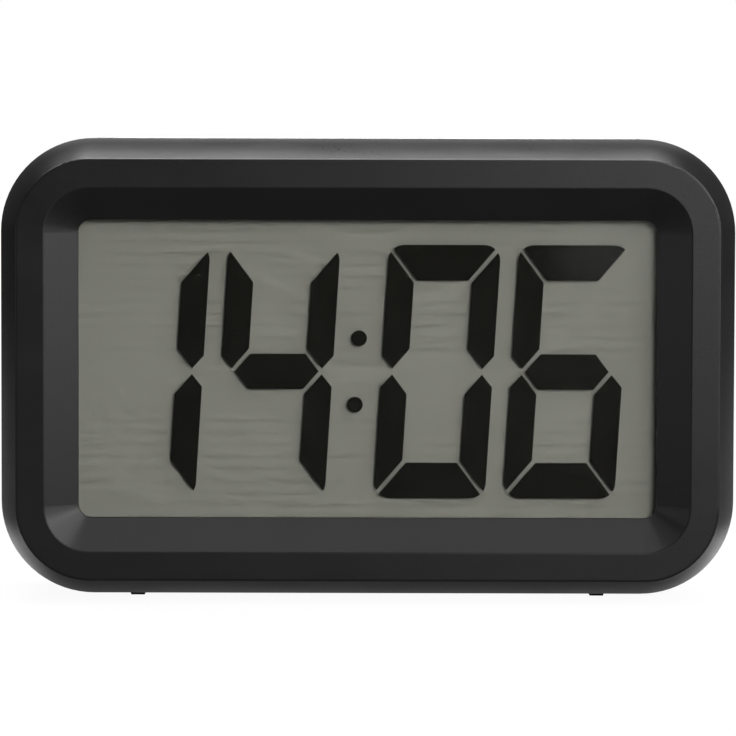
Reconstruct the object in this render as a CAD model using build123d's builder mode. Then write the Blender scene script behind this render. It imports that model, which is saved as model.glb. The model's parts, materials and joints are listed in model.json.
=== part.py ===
from build123d import *
import os
from math import hypot, radians, tan

os.makedirs("parts", exist_ok=True)

# Every size is in millimetres. The clock faces -Y, +X is on its right seen from the front, and +Z is up.
# The origin is on the ground, under the middle of the clock.
# "Reach" is how far an outline stands out from the rectangle through the four corner centres of the case.
# All the outlines of the case keep those four centres, so a reach is also a corner radius.

# Case, outside
case_width = 140.0
case_height = 87.0
corner_radius = 17.8
front_shell_depth = 15.0
rear_shell_depth = 25.8
button_stand = 1.2
foot_height = 0.6

# Front shell, from its ridge round the flat face and down the slope to the window
face_inset = 3.9
face_width = 5.3
slope_width = 6.15
slope_depth = 5.0
window_lip = 1.0
front_wall = 2.0
band_bow = 0.45
parting_step = 0.4
parting_depth = 1.1
ridge_round = 2.0
edge_round = 0.5
lip_round = 0.25

# Joint between the shells
tongue_height = 1.5
tongue_thickness = 1.0
tongue_root = 2.5
tongue_clearance = 0.15
tongue_room = 1.0

# Display stack, from the lens backwards
lens_thickness = 0.8
lens_overlap = 2.4
lens_clearance = 0.2
polarizer_thickness = 0.2
polarizer_inset = 0.8
glass_thickness = 1.1
glass_margin = 1.6
glass_ledge = 3.4
crystal_gap = 0.15
seal_width = 0.7
seal_inset = 0.3
guide_thickness = 2.2
reflector_thickness = 0.2
led_room = 1.5
led_size = (1.2, 1.6, 3.8)
led_height = 12.0
zebra_thickness = 1.8
zebra_margin = 6.25

# Figures
figures_end_margin = 4.1
figures_side_margin = 4.25
figures_shift = -2.05
figures_drop = 0.6
figure_gap = 3.4
figure_lean = 3.5
colon_room = 5.8
side_bar = 5.1
end_bar = 6.75
middle_bar = 6.7
bar_gap = 0.8
bar_round = 3.0
colon_spread = 12.6
colon_diameter = 3.0

# Display holder and main board
holder_wall = 1.5
holder_clearance = 0.15
holder_lip = 1.45
holder_lip_reach = 4.0
holder_round = 2.0
board_thickness = 1.2
board_clearance = 0.8
board_round = 1.5
ear_margin = 2.8
board_post_height = 12.0
board_post_radius = 2.0
blob_radius = 6.0
blob_height = 1.4
blob_round = 1.2
blob_place = (-14.0, 12.0)
quartz_radius = 1.5
quartz_length = 8.0
quartz_place = (10.0, 10.0)
capacitor_radius = 2.5
capacitor_height = 6.0
capacitor_places = ((30.0, -8.0), (38.0, -8.0))

# Screws and what takes them
case_post_radius = 2.4
post_gap = 1.3
post_root = 0.2
post_overlap = 2.0
column_wall = 1.2
column_web = 5.0
case_screw_head = (2.4, 1.6)
case_screw_shank = (1.3, 11.0)
head_clearance = 0.5
shank_clearance = 0.2
thread_clearance = 0.02
drive_slot = (2.2, 0.6, 0.8)
board_screw_head = (1.8, 1.1)
board_screw_shank = (0.9, 5.0)
pilot_spare = 0.5

# Rear shell
rear_wall = 2.2
rear_draft = 4.0
back_round = 2.5

# Feet, set into pockets of the bottom wall
foot_width = 2.6
foot_length = 6.0
foot_draft = 14.0
foot_seat = 0.9
foot_inset = 8.2
front_foot_setback = 1.0
rear_foot_setback = 4.0

# Cells, battery bay and its contacts
cell_diameter = 10.5
cell_length = 44.5
cell_nub = (1.9, 1.0)
cell_round = 0.6
cell_pitch = 10.9
cell_steps = (-1, 0, 1)
cell_play = 0.2
contact_thickness = 0.4
contact_width = 8.0
spring_room = 4.2
spring_strip = 0.3
spring_width = 5.0
spring_bend = 0.8
bay_wall = 1.5
solder_tab_width = 2.0
solder_tab_stand = 1.5
solder_slot_gap = 0.1

# Battery door
door_thickness = 1.8
door_margin = 5.55
door_overlap = 2.2
door_gap = 0.15
door_seat_gap = 0.1
door_round = 2.0
rim_wall = 1.2
tab_width = 8.0
tab_place = 15.0
tab_reach = 2.0
tab_gap = 0.1
tab_room = 0.3
latch_width = 12.0
latch_depth = 9.0
latch_slot = 0.8
latch_rib = (9.0, 0.5, 0.8)
latch_rib_pitch = 1.7
latch_rib_count = 3
thumb_dish_radius = 9.0
thumb_dish_depth = 1.2

# Controls on the back
control_pitch = 15.5
control_board_gap = 1.5
control_board_half_height = 6.5
control_board_margin = 3.3
control_boss_spacing = 10.5
control_boss_length = 8.4
boss_radius = 2.2
button_radius = 3.4
button_clearance = 0.1
button_crown = 0.5
button_round = 0.5
button_flange = (4.6, 1.0)
button_stem_radius = 2.0
flange_gap = 0.1
switch_side = 6.0
switch_height = 3.5
plunger_radius = 1.7
plunger_clearance = 0.1
plunger_stand = 0.8
plunger_depth = 1.3
plunger_room = 0.9

# Alarm slide switch
slider_knob = (4.0, 3.0)
slider_stand = 0.8
slider_flange = (9.0, 0.8, 5.0)
slider_foot = (2.0, 1.8)
slider_foot_depth = 1.3
slider_room = 0.5
slider_travel = 3.0
slider_clearance = 0.15
slide_switch_size = (9.0, 3.6, 4.4)

# Snooze bar on the top
snooze_overhang = 0.3
snooze_setback = 1.6
snooze_rear_room = 9.0
snooze_below_ridge = 0.05
snooze_gap = 0.15
snooze_flat_end = 3.0
snooze_edge = 0.6
snooze_wall = 1.5
snooze_top_wall = 1.8
snooze_flange = (1.2, 1.0)
snooze_flange_gap = 0.3
snooze_boss_radius = 1.9
snooze_boss_stand = 1.0
snooze_board_half_length = 16.0
snooze_board_margin = 2.8
snooze_board_front = 4.0
snooze_board_back_gap = 1.6
snooze_post_place = 12.0

# Buzzer
buzzer_radius = 10.5
buzzer_thickness = 0.25
ceramic_radius = 7.0
buzzer_ring = (11.3, 9.8, 2.0)
speaker_slot = (13.0, 1.3)
speaker_pitch = 2.6
speaker_count = 5

# Leads inside the case, and the flat ribbon between the two upright boards
lead_radius = 0.5
lead_run = 2.5
lead_bend_share = 0.45
battery_lead_drift = (3.0, 5.0)
buzzer_lead_gap = 4.0
buzzer_lead_rise = 5.0
snooze_lead_inset = 1.0
snooze_lead_pitch = 2.6
snooze_lead_drop = 3.0
ribbon_size = (12.7, 0.9)
ribbon_place = -32.0
ribbon_drop = 8.0
ribbon_bend = 2.4

# How far a cut runs past the face that it opens
overrun = 1.0

# Levels and outlines worked out from the sizes above
total_depth = front_shell_depth + rear_shell_depth + button_stand
face_depth = -total_depth / 2
ridge_depth = face_depth + front_shell_depth
back_depth = ridge_depth + rear_shell_depth
back_inside = back_depth - rear_wall
case_centre = foot_height + case_height / 2
corner_x = case_width / 2 - corner_radius
corner_z = case_height / 2 - corner_radius
ridge_reach = corner_radius
face_reach = ridge_reach - face_inset
slope_reach = face_reach - face_width
window_reach = slope_reach - slope_width
parting_reach = ridge_reach - parting_step
lens_reach = window_reach + lens_overlap


def level(depth):
    """The plane that faces the front at this depth, with its origin at the middle of the case."""
    return Plane(origin=(0, depth, case_centre), x_dir=(1, 0, 0), z_dir=(0, -1, 0))


def outline(reach):
    """The rounded rectangle at this reach."""
    RectangleRounded(2 * (corner_x + reach), 2 * (corner_z + reach), reach)


def block(left, right, low, high):
    """A rectangle from its sides, for a sketch on a level."""
    with Locations(((left + right) / 2, (low + high) / 2)):
        Rectangle(right - left, high - low)


def rear_reach(depth):
    """The reach of the rear shell, which draws in towards the back."""
    return parting_reach - (depth - ridge_depth) * tan(radians(rear_draft))


def top_inside(depth):
    """The height of the inner face of the top wall of the rear shell."""
    return case_centre + corner_z + rear_reach(depth) - rear_wall


def underside(depth):
    """The height of the outer face of the bottom wall of the rear shell."""
    return case_centre - corner_z - rear_reach(depth)


def keep(piece, name):
    """Label a finished piece and write it as a STEP file."""
    piece.part.label = name
    export_step(piece.part, f"parts/{name}.step")


# Front shell: one wall section carried once round the clock
seat_depth = face_depth + slope_depth + window_lip
seat_reach = lens_reach + lens_clearance
inner_reach = parting_reach - front_wall
slope_length = hypot(slope_width, slope_depth)
slope_back_reach = slope_reach + front_wall * (slope_length - slope_width) / slope_depth
top_of_band = (ridge_depth - parting_depth, ridge_reach)
face_edge = (face_depth, face_reach)
slope_edge = (face_depth, slope_reach)
lip_edge = (seat_depth - window_lip, window_reach)


def at_top(place):
    """A point of the wall section, as depth and height over the upper corner centres."""
    depth, reach = place
    return (depth, case_centre + corner_z + reach)


with BuildSketch(Plane.YZ) as wall_section:
    with BuildLine():
        SagittaArc(at_top(face_edge), at_top(top_of_band), band_bow)
        Polyline(
            at_top(top_of_band),
            at_top((ridge_depth, parting_reach)),
            at_top((ridge_depth, inner_reach)),
            at_top((ridge_depth - tongue_height - tongue_room, inner_reach)),
            at_top((face_depth + front_wall, face_reach - front_wall)),
            at_top((face_depth + front_wall, slope_back_reach)),
            at_top((seat_depth, seat_reach)),
            at_top((seat_depth, window_reach)),
            at_top(lip_edge),
            at_top(slope_edge),
            at_top(face_edge),
        )
    make_face()
    for place, radius in (
        (top_of_band, ridge_round),
        (face_edge, edge_round),
        (slope_edge, edge_round),
        (lip_edge, lip_round),
    ):
        fillet(wall_section.vertices().sort_by_distance(at_top(place))[0], radius)

# The way round, from the middle of the top, clockwise seen from the front
with BuildLine(level(face_depth)) as wall_path:
    top_right = Line((0, corner_z + face_reach), (corner_x, corner_z + face_reach))
    first_corner = RadiusArc(top_right @ 1, (corner_x + face_reach, corner_z), face_reach)
    right = Line(first_corner @ 1, (corner_x + face_reach, -corner_z))
    second_corner = RadiusArc(right @ 1, (corner_x, -corner_z - face_reach), face_reach)
    foot = Line(second_corner @ 1, (-corner_x, -corner_z - face_reach))
    third_corner = RadiusArc(foot @ 1, (-corner_x - face_reach, -corner_z), face_reach)
    left = Line(third_corner @ 1, (-corner_x - face_reach, corner_z))
    last_corner = RadiusArc(left @ 1, (-corner_x, corner_z + face_reach), face_reach)
    Line(last_corner @ 1, top_right @ 0)

holder_x = corner_x + window_reach + glass_margin + holder_clearance + holder_wall
post_x = holder_x + post_gap + case_post_radius
post_places = [(side * post_x, end * corner_z) for side in (-1, 1) for end in (-1, 1)]
board_post_places = [(side * post_x, end * board_post_height) for side in (-1, 1) for end in (-1, 1)]
post_front = face_depth + front_wall - post_root
post_end = ridge_depth + post_overlap
pilot_radius = case_screw_shank[0] + thread_clearance
board_pilot_radius = board_screw_shank[0] + thread_clearance

lens_back = seat_depth + lens_thickness
front_glass_front = lens_back + polarizer_thickness
crystal_front = front_glass_front + glass_thickness
rear_glass_front = crystal_front + crystal_gap
rear_polarizer_front = rear_glass_front + glass_thickness
guide_front = rear_polarizer_front + polarizer_thickness
reflector_front = guide_front + guide_thickness
holder_lip_front = reflector_front + reflector_thickness
board_front = holder_lip_front + holder_lip
board_back = board_front + board_thickness
screw_seat = post_end + column_web

with BuildPart() as front_shell:
    add(wall_section.sketch)
    sweep(path=wall_path.line)
    # Posts for the case screws and for the main board
    with BuildSketch(level(post_front)):
        with Locations(*post_places):
            Circle(case_post_radius)
    extrude(amount=post_front - post_end)
    with BuildSketch(level(post_front)):
        with Locations(*board_post_places):
            Circle(board_post_radius)
    extrude(amount=post_front - board_front)
    with BuildSketch(level(post_end)):
        with Locations(*post_places):
            Circle(pilot_radius)
    extrude(amount=case_screw_shank[1] - column_web + pilot_spare, mode=Mode.SUBTRACT)
    with BuildSketch(level(board_front)):
        with Locations(*board_post_places):
            Circle(board_pilot_radius)
    extrude(amount=board_screw_shank[1] - board_thickness + pilot_spare, mode=Mode.SUBTRACT)
keep(front_shell, "front_shell")


# Display lens and the two sheets of polarizer
window_x = corner_x + window_reach
window_z = corner_z + window_reach
glass_x = window_x + glass_margin
glass_z = window_z + glass_margin
glass_foot = -glass_z - glass_ledge

with BuildPart() as display_lens:
    with BuildSketch(level(seat_depth)):
        outline(lens_reach)
    extrude(amount=-lens_thickness)
keep(display_lens, "display_lens")

for name, depth in (("front_polarizer", lens_back), ("rear_polarizer", rear_polarizer_front)):
    with BuildPart() as polarizer:
        with BuildSketch(level(depth)):
            Rectangle(2 * (glass_x - polarizer_inset), 2 * (glass_z - polarizer_inset))
        extrude(amount=-polarizer_thickness)
    keep(polarizer, name)

# The front glass stands out below the rear one, as the ledge that the zebra strip presses on
for name, depth, foot in (
    ("front_glass", front_glass_front, glass_foot),
    ("rear_glass", rear_glass_front, -glass_z),
):
    with BuildPart() as glass:
        with BuildSketch(level(depth)):
            block(-glass_x, glass_x, foot, glass_z)
        extrude(amount=-glass_thickness)
    keep(glass, name)

seal_x = glass_x - seal_inset
seal_z = glass_z - seal_inset
with BuildPart() as lcd_seal:
    with BuildSketch(level(crystal_front)):
        Rectangle(2 * seal_x, 2 * seal_z)
        Rectangle(2 * (seal_x - seal_width), 2 * (seal_z - seal_width), mode=Mode.SUBTRACT)
    extrude(amount=-crystal_gap)
keep(lcd_seal, "lcd_seal")


# Figures: one leaning figure eight cut into its seven bars, of which each figure takes some
def leaned(x, z):
    """A point of a figure, pushed sideways by the lean."""
    return (x + z * tan(radians(figure_lean)), z)


# The row of figures fills the window but for its margins
figure_width = (window_x - figures_side_margin - 1.5 * figure_gap - colon_room / 2) / 2
figure_pitch = figure_width + figure_gap
half_figure = figure_width / 2
half_figure_height = window_z - figures_end_margin
counter_x = half_figure - side_bar
counter_top = half_figure_height - end_bar
counter_foot = middle_bar / 2
bar_tip = half_figure - side_bar / 2
notch = (middle_bar - bar_gap) / 2

with BuildSketch() as eight:
    with BuildLine():
        Polyline(
            leaned(-half_figure, -half_figure_height),
            leaned(half_figure, -half_figure_height),
            leaned(half_figure, half_figure_height),
            leaned(-half_figure, half_figure_height),
            close=True,
        )
    make_face()
    fillet(eight.vertices(), bar_round)
    for end in (-1, 1):
        with BuildLine():
            Polyline(
                leaned(-counter_x, end * counter_foot),
                leaned(counter_x, end * counter_foot),
                leaned(counter_x, end * counter_top),
                leaned(-counter_x, end * counter_top),
                close=True,
            )
        make_face(mode=Mode.SUBTRACT)
    for side in (-1, 1):
        with BuildLine():
            Polyline(
                leaned(side * bar_tip, 0),
                leaned(side * half_figure, notch),
                leaned(side * half_figure, -notch),
                close=True,
            )
        make_face(mode=Mode.SUBTRACT)
        for end in (-1, 1):
            with BuildLine():
                mitre = Line(
                    leaned(side * (counter_x - bar_gap), end * (counter_top - bar_gap)),
                    leaned(side * (half_figure + bar_gap), end * (half_figure_height + bar_gap)),
                )
            trace(mitre, bar_gap, mode=Mode.SUBTRACT)
            with BuildLine():
                joint_line = Line(
                    leaned(side * (bar_tip + bar_gap / 2), 0),
                    leaned(side * (counter_x - bar_gap / 2), end * (counter_foot + bar_gap)),
                )
            trace(joint_line, bar_gap, mode=Mode.SUBTRACT)

bars = eight.faces().sort_by(Axis.Y)
foot_bar = bars[0]
lower_left, lower_right = bars[1:3].sort_by(Axis.X)
middle = bars[3]
upper_left, upper_right = bars[4:6].sort_by(Axis.X)
head_bar = bars[6]
shown = (
    (upper_right, lower_right),
    (upper_left, upper_right, middle, lower_right),
    (head_bar, foot_bar, upper_left, upper_right, lower_left, lower_right),
    (head_bar, foot_bar, middle, upper_left, lower_left, lower_right),
)
inner_place = (figure_pitch + colon_room) / 2
outer_place = inner_place + figure_pitch
figure_places = (-outer_place, -inner_place, inner_place, outer_place)

with BuildPart() as lcd_segments:
    with BuildSketch(level(crystal_front)):
        for place, lit in zip(figure_places, shown):
            with Locations((figures_shift + place, -figures_drop)):
                add(lit)
        for end in (-1, 1):
            x, z = leaned(0, end * colon_spread / 2)
            with Locations((figures_shift + x, z - figures_drop)):
                Circle(colon_diameter / 2)
    extrude(amount=-crystal_gap)
keep(lcd_segments, "lcd_segments")


# Backlight
guide_x = glass_x - led_room
for name, depth, thickness in (
    ("light_guide", guide_front, guide_thickness),
    ("reflector_sheet", reflector_front, reflector_thickness),
):
    with BuildPart() as sheet:
        with BuildSketch(level(depth)):
            Rectangle(2 * guide_x, 2 * glass_z)
        extrude(amount=-thickness)
    keep(sheet, name)

with BuildPart() as backlight_leds:
    led_x = glass_x - led_room / 2
    led_depth = guide_front + guide_thickness / 2
    with Locations(
        *[(side * led_x, led_depth, case_centre + end * led_height) for side in (-1, 1) for end in (-1, 1)]
    ):
        Box(*led_size)
keep(backlight_leds, "backlight_leds")


# Display holder: a frame round the stack, with a lip behind it and a channel for the zebra strip
zebra_length = 2 * (glass_x - zebra_margin)
zebra_z = -glass_z - glass_ledge / 2
stack_x = glass_x + holder_clearance
stack_z = glass_z + holder_clearance
holder_top = stack_z + holder_wall
holder_foot = glass_foot - holder_clearance - holder_wall

with BuildPart() as display_holder:
    with BuildSketch(level(lens_back)) as holder_outline:
        block(-holder_x, holder_x, holder_foot, holder_top)
        fillet(holder_outline.vertices(), holder_round)
    extrude(amount=lens_back - board_front)
    with BuildSketch(level(lens_back)):
        block(-stack_x, stack_x, glass_foot - holder_clearance, stack_z)
    extrude(amount=lens_back - crystal_front, mode=Mode.SUBTRACT)
    with BuildSketch(level(crystal_front)):
        Rectangle(2 * stack_x, 2 * stack_z)
    extrude(amount=crystal_front - holder_lip_front, mode=Mode.SUBTRACT)
    with BuildSketch(level(holder_lip_front)):
        Rectangle(2 * (stack_x - holder_lip_reach), 2 * (stack_z - holder_lip_reach))
    extrude(amount=-(holder_lip + overrun), mode=Mode.SUBTRACT)
    with BuildSketch(level(crystal_front)):
        with Locations((0, zebra_z)):
            Rectangle(zebra_length + 2 * holder_clearance, zebra_thickness + 2 * holder_clearance)
    extrude(amount=crystal_front - board_front - overrun, mode=Mode.SUBTRACT)
keep(display_holder, "display_holder")

with BuildPart() as zebra_strip:
    with BuildSketch(level(crystal_front)):
        with Locations((0, zebra_z)):
            Rectangle(zebra_length, zebra_thickness)
    extrude(amount=crystal_front - board_front)
keep(zebra_strip, "zebra_strip")


# Main board and what sits on it
main_board_x = post_x - case_post_radius - board_clearance
with BuildPart() as main_board:
    with BuildSketch(level(board_front)) as board_outline:
        block(-main_board_x, main_board_x, holder_foot, holder_top)
        Rectangle(2 * (post_x + ear_margin), 2 * (board_post_height + ear_margin))
        fillet(board_outline.vertices(), board_round)
        with Locations(*board_post_places):
            Circle(board_screw_shank[0] + shank_clearance, mode=Mode.SUBTRACT)
    extrude(amount=-board_thickness)
keep(main_board, "main_board")

with BuildPart() as driver_chip:
    with BuildSketch(level(board_back)):
        with Locations(blob_place):
            Circle(blob_radius)
    extrude(amount=-blob_height)
    fillet(driver_chip.edges().sort_by(Axis.Y)[-1], blob_round)
keep(driver_chip, "driver_chip")

with BuildPart() as quartz_crystal:
    quartz_x, quartz_z = quartz_place
    with BuildSketch(Plane.YZ.offset(quartz_x)):
        with Locations((board_back + quartz_radius, case_centre + quartz_z)):
            Circle(quartz_radius)
    extrude(amount=quartz_length)
keep(quartz_crystal, "quartz_crystal")

with BuildPart() as board_capacitors:
    with BuildSketch(level(board_back)):
        with Locations(*capacitor_places):
            Circle(capacitor_radius)
    extrude(amount=-capacitor_height)
    fillet(board_capacitors.edges().group_by(Axis.Y)[-1], edge_round)
keep(board_capacitors, "board_capacitors")


def screws(plane, places, head, shank, slotted):
    """Pan head screws with their seats on a plane and their shanks in front of it."""
    with BuildPart() as group:
        for radius, length in ((head[0], -head[1]), (shank[0], shank[1])):
            with BuildSketch(plane):
                with Locations(*places):
                    Circle(radius)
            extrude(amount=length)
        if slotted:
            length, width, depth = drive_slot
            with BuildSketch(plane.offset(-head[1])):
                with Locations(*places):
                    Rectangle(length, width)
                    Rectangle(width, length)
            extrude(amount=depth, mode=Mode.SUBTRACT)
    return group


keep(screws(level(board_back), board_post_places, board_screw_head, board_screw_shank, True), "board_screws")
keep(screws(level(screw_seat), post_places, case_screw_head, case_screw_shank, True), "case_screws")


# Battery bay, door and tabs, as levels and edges that the rear shell shares with them
cell_depth = back_depth - door_thickness - door_seat_gap - cell_play - cell_diameter / 2
bay_floor = cell_depth - cell_diameter / 2 - cell_play
bay_x = (cell_length + 2 * contact_thickness + spring_room) / 2
bay_z = len(cell_steps) * cell_pitch / 2
door_x = bay_x + door_overlap
door_foot = underside(back_depth) + door_margin - case_centre
bay_foot = door_foot + door_overlap
bay_middle = bay_foot + bay_z
bay_top = bay_middle + bay_z
cell_heights = [case_centre + bay_middle + cell_pitch * step for step in cell_steps]
terminal_places = ((-1, cell_heights[0]), (1, cell_heights[-1]))
terminal_front = bay_floor - bay_wall - solder_tab_stand
door_top = bay_top + door_overlap
door_middle = back_depth - door_thickness / 2
door_pivot = door_foot + door_thickness / 2
tab_foot = door_foot - tab_reach
tab_sweep = tab_reach + door_thickness
rim_front = door_middle - tab_sweep - rim_wall

# Snooze bar levels
snooze_length = 2 * (corner_x + snooze_overhang)
snooze_front = ridge_depth + snooze_setback
snooze_back = back_inside - snooze_rear_room
snooze_depth = snooze_back - snooze_front
snooze_middle = (snooze_front + snooze_back) / 2
snooze_round = (snooze_depth - snooze_flat_end) / 2
snooze_top = foot_height + case_height - snooze_below_ridge
snooze_flange_top = top_inside(snooze_back + snooze_flange[0]) - snooze_flange_gap
snooze_foot = snooze_flange_top - snooze_flange[1]
snooze_plunger_top = snooze_foot - snooze_boss_stand
snooze_switch_top = snooze_plunger_top - plunger_stand
snooze_board_top = snooze_switch_top - switch_height
snooze_board_back = back_inside - snooze_board_back_gap
snooze_post_depth = snooze_board_back - snooze_board_margin
snooze_post_places = [(side * snooze_post_place, snooze_post_depth) for side in (-1, 1)]

# Control levels: the control board hangs under the screws of the snooze board
snooze_underside = snooze_board_top - board_thickness - board_screw_head[1]
control_height = snooze_underside - control_board_gap - control_board_half_height - case_centre
control_board_back = back_inside - control_boss_length
control_board_front = control_board_back - board_thickness
switch_top = control_board_back + switch_height
plunger_end = switch_top + plunger_stand
button_names = ("mode_button", "set_button", "up_button", "down_button")
control_places = [control_pitch * step for step in (-2, -1, 0, 1, 2)]
button_places = control_places[:4]
slider_rest = control_places[4] - slider_travel / 2
control_boss_place = control_places[4] + control_boss_spacing
boss_places = [(side * control_boss_place, control_height) for side in (-1, 1)]

# The buzzer is midway between the rim of the door and the side wall
inner_side = corner_x + rear_reach(back_depth) - rear_wall
buzzer_place = ((door_x + door_gap + rim_wall + inner_side) / 2, -corner_z / 2)

# Rear shell
foot_depths = (
    ridge_depth + front_foot_setback + foot_length / 2,
    back_depth - rear_foot_setback - foot_length / 2,
)
feet = []
for depth in foot_depths:
    stand = underside(depth - foot_length / 2)
    flare = stand * tan(radians(foot_draft))
    places = [(side * (corner_x - foot_inset), depth) for side in (-1, 1)]
    feet.append((places, stand, foot_width + 2 * flare, foot_length + 2 * flare))
tongue_reach = inner_reach - tongue_clearance
recess_radius = case_screw_head[0] + head_clearance

with BuildPart() as rear_shell:
    with BuildSketch(level(ridge_depth)):
        outline(parting_reach)
    extrude(amount=-rear_shell_depth, taper=rear_draft)
    fillet(rear_shell.faces().sort_by(Axis.Y)[-1].edges(), back_round)
    with BuildSketch(level(ridge_depth)):
        outline(parting_reach - rear_wall)
    extrude(amount=-(rear_shell_depth - rear_wall), taper=rear_draft, mode=Mode.SUBTRACT)
    with BuildSketch(level(ridge_depth - tongue_height)):
        outline(tongue_reach)
        RectangleRounded(
            2 * (corner_x + tongue_reach - tongue_thickness),
            2 * (corner_z + tongue_reach - tongue_thickness),
            tongue_reach - tongue_thickness,
            mode=Mode.SUBTRACT,
        )
    extrude(amount=-(tongue_height + tongue_root))
    # Columns for the case screws
    with BuildSketch(level(post_end)):
        with Locations(*post_places):
            Circle(recess_radius + column_wall)
    extrude(amount=post_end - back_inside - rear_wall / 2)
    # Battery bay: the box round the cells and the thicker rim round the door
    with BuildSketch(level(bay_floor - bay_wall)):
        block(-bay_x - bay_wall, bay_x + bay_wall, bay_foot - bay_wall, bay_top + bay_wall)
    extrude(amount=bay_floor - bay_wall - back_inside - rear_wall / 2)
    with BuildSketch(level(rim_front)):
        block(
            -door_x - door_gap - rim_wall,
            door_x + door_gap + rim_wall,
            tab_foot - tab_room - rim_wall,
            door_top + door_gap + rim_wall,
        )
    extrude(amount=rim_front - back_inside - rear_wall / 2)
    # Bosses for the control board, posts for the snooze board, ring for the buzzer
    with BuildSketch(level(control_board_back)):
        with Locations(*boss_places):
            Circle(boss_radius)
    extrude(amount=control_board_back - back_inside - rear_wall / 2)
    with BuildSketch(Plane.XY.offset(snooze_board_top)):
        with Locations(*snooze_post_places):
            Circle(boss_radius)
    extrude(amount=top_inside(snooze_post_depth) + rear_wall / 2 - snooze_board_top)
    with BuildSketch(level(back_inside - buzzer_ring[2])):
        with Locations(buzzer_place):
            Circle(buzzer_ring[0])
            Circle(buzzer_ring[1], mode=Mode.SUBTRACT)
    extrude(amount=-(buzzer_ring[2] + rear_wall / 2))
    # Pockets for the feet
    for places, stand, width, length in feet:
        with BuildSketch(Plane.XY):
            with Locations(*places):
                Rectangle(width, length)
        extrude(amount=stand + foot_seat, mode=Mode.SUBTRACT)
    # Recesses, holes and pilots of the case screws and board screws
    with BuildSketch(level(screw_seat)):
        with Locations(*post_places):
            Circle(recess_radius)
    extrude(amount=screw_seat - back_depth - overrun, mode=Mode.SUBTRACT)
    with BuildSketch(level(post_end)):
        with Locations(*post_places):
            Circle(case_screw_shank[0] + shank_clearance)
    extrude(amount=-(column_web + overrun), mode=Mode.SUBTRACT)
    with BuildSketch(level(control_board_back)):
        with Locations(*boss_places):
            Circle(board_pilot_radius)
    extrude(amount=-(board_screw_shank[1] - board_thickness + pilot_spare), mode=Mode.SUBTRACT)
    with BuildSketch(Plane.XY.offset(snooze_board_top)):
        with Locations(*snooze_post_places):
            Circle(board_pilot_radius)
    extrude(amount=board_screw_shank[1] - board_thickness + pilot_spare, mode=Mode.SUBTRACT)
    # Battery bay cavity, door recess, pockets for the door tabs, thumb dish
    with BuildSketch(level(bay_floor)):
        block(-bay_x, bay_x, bay_foot, bay_top)
    extrude(amount=bay_floor - back_depth - overrun, mode=Mode.SUBTRACT)
    with BuildSketch(level(back_depth - door_thickness - door_seat_gap)):
        block(-door_x - door_gap, door_x + door_gap, door_foot - door_gap, door_top + door_gap)
    extrude(amount=-(door_thickness + door_seat_gap + overrun), mode=Mode.SUBTRACT)
    with BuildSketch(level(door_middle - tab_sweep)):
        for side in (-1, 1):
            middle_x = side * tab_place
            half = tab_width / 2 + tab_room
            block(middle_x - half, middle_x + half, tab_foot - tab_room, bay_foot + overrun)
    extrude(amount=-(tab_sweep + tab_gap), mode=Mode.SUBTRACT)
    with Locations((0, back_depth + thumb_dish_radius - thumb_dish_depth, case_centre + door_top)):
        Sphere(thumb_dish_radius, mode=Mode.SUBTRACT)
    # Slots in the floor of the bay for the solder tabs of the two end contacts
    with BuildSketch(level(bay_floor - bay_wall - overrun)):
        for side, height in terminal_places:
            with Locations((side * (bay_x - contact_thickness / 2), height - case_centre)):
                Rectangle(contact_thickness + 2 * solder_slot_gap, solder_tab_width + 2 * solder_slot_gap)
    extrude(amount=-(bay_wall + 2 * overrun), mode=Mode.SUBTRACT)
    # Holes for the rear buttons, the slider and the sound
    with BuildSketch(level(back_inside - overrun)):
        with Locations(*[(x, control_height) for x in button_places]):
            Circle(button_radius + button_clearance)
        with Locations((control_places[4], control_height)):
            Rectangle(
                slider_knob[0] + slider_travel + 2 * slider_clearance,
                slider_knob[1] + 2 * slider_clearance,
            )
        with Locations(buzzer_place):
            with GridLocations(0, speaker_pitch, 1, speaker_count):
                SlotOverall(*speaker_slot)
    extrude(amount=-(rear_wall + 2 * overrun), mode=Mode.SUBTRACT)
    # Opening for the snooze bar
    with BuildSketch(Plane.XY.offset(snooze_foot)):
        with Locations((0, snooze_middle)):
            RectangleRounded(
                snooze_length + 2 * snooze_gap,
                snooze_depth + 2 * snooze_gap,
                snooze_round + snooze_gap,
            )
    extrude(amount=snooze_top - snooze_foot + overrun, mode=Mode.SUBTRACT)
keep(rear_shell, "rear_shell")

# Feet: a straight root in each pocket and a tapered nub under the wall
with BuildPart() as case_feet:
    for places, stand, width, length in feet:
        with BuildSketch(Plane.XY):
            with Locations(*places):
                Rectangle(foot_width, foot_length)
        extrude(amount=stand, taper=-foot_draft)
        with BuildSketch(Plane.XY.offset(stand)):
            with Locations(*places):
                Rectangle(width, length)
        extrude(amount=foot_seat)
keep(case_feet, "case_feet")


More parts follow.
